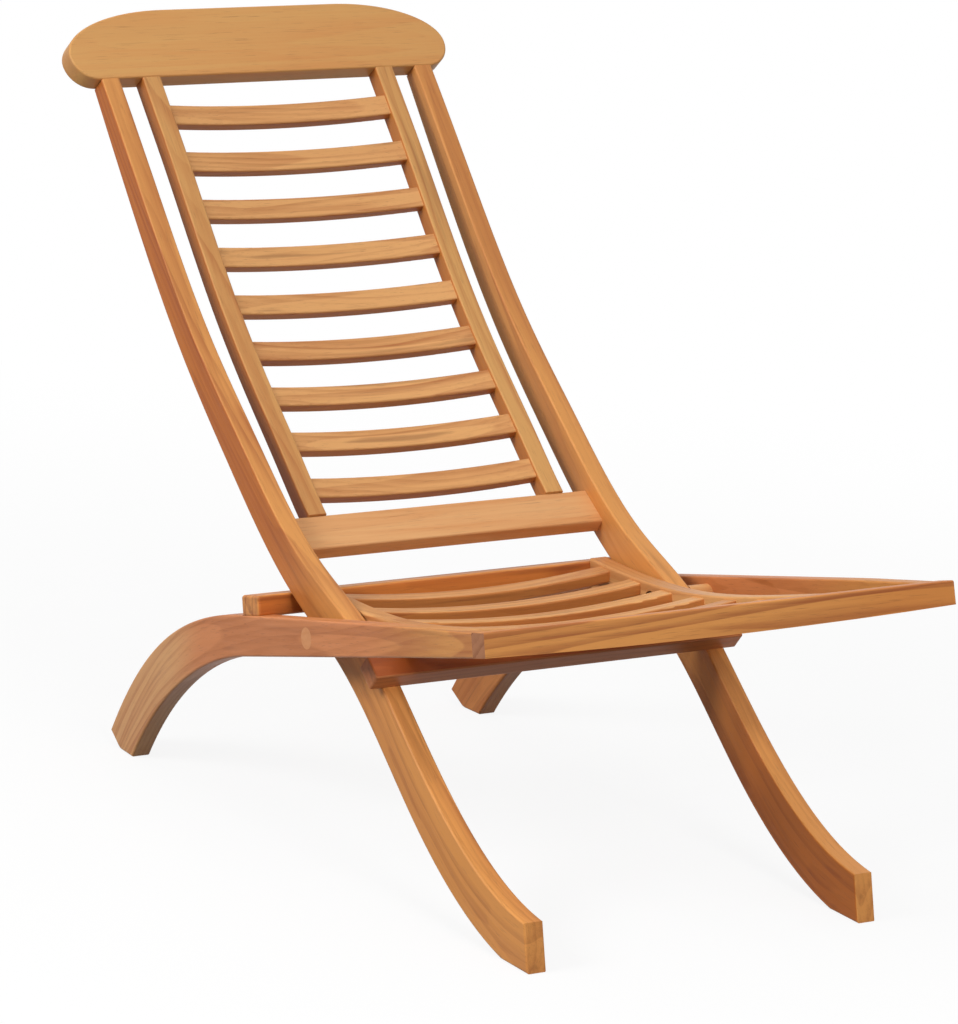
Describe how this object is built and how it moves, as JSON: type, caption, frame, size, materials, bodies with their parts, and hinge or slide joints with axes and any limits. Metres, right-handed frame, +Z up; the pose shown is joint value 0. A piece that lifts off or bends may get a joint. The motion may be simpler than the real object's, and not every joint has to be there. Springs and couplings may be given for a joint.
{
  "type": "folding garden chair",
  "caption": "Low folding garden chair of two crossing wooden frames: a dished slatted seat whose side rails curve down to the rear feet, and a slatted back with headrest that folds over it.",
  "frame": {"origin": "centre of the chair's box on the floor, with the chair open", "axes": "+Z up from the floor, -Y the way the sitter looks, -X the chair's left-hand side in the front view of the picture"},
  "size_m": [0.5, 0.9, 0.69],
  "materials": {
    "oiled_teak": "oiled satin",
    "plug_wood": "oiled satin",
    "dowel_wood": "plain turned",
    "hardware": "plain"
  },
  "bodies": {
    "seat_frame": {"seat_rail_left": "oiled_teak", "seat_rail_right": "oiled_teak", "front_rail": "oiled_teak", "rear_crossbar": "oiled_teak", "seat_bearer_left": "oiled_teak", "seat_bearer_right": "oiled_teak", "seat_slat_1": "oiled_teak", "seat_slat_2": "oiled_teak", "seat_slat_3": "oiled_teak", "seat_slat_4": "oiled_teak", "seat_slat_5": "oiled_teak", "seat_slat_6": "oiled_teak", "seat_slat_7": "oiled_teak", "seat_slat_8": "oiled_teak", "pivot_bolt_left": "hardware", "pivot_bolt_right": "hardware", "pivot_plug_left": "plug_wood", "pivot_plug_right": "plug_wood", "pivot_spacer_left": "oiled_teak", "pivot_spacer_right": "oiled_teak", "pivot_washers": "hardware", "pivot_nuts": "hardware", "front_rail_dowels": "dowel_wood", "crossbar_dowels": "dowel_wood", "bearer_dowels": "dowel_wood"},
    "back_frame": {"back_rail_left": "oiled_teak", "back_rail_right": "oiled_teak", "headrest": "oiled_teak", "back_stile_left": "oiled_teak", "back_stile_right": "oiled_teak", "back_slat_1": "oiled_teak", "back_slat_2": "oiled_teak", "back_slat_3": "oiled_teak", "back_slat_4": "oiled_teak", "back_slat_5": "oiled_teak", "back_slat_6": "oiled_teak", "back_slat_7": "oiled_teak", "back_slat_8": "oiled_teak", "back_slat_9": "oiled_teak", "lower_back_rail": "oiled_teak", "leg_stretcher": "oiled_teak", "headrest_dowels": "dowel_wood", "stile_dowels": "dowel_wood", "stretcher_screws": "hardware"}
  },
  "joints": [
    {"name": "back_fold", "type": "hinge", "parent": "seat_frame", "child": "back_frame", "pos_m": [0, -0.122, 0.2165], "axis": [1, 0, 0], "range_deg": [0, 120]}
  ]
}
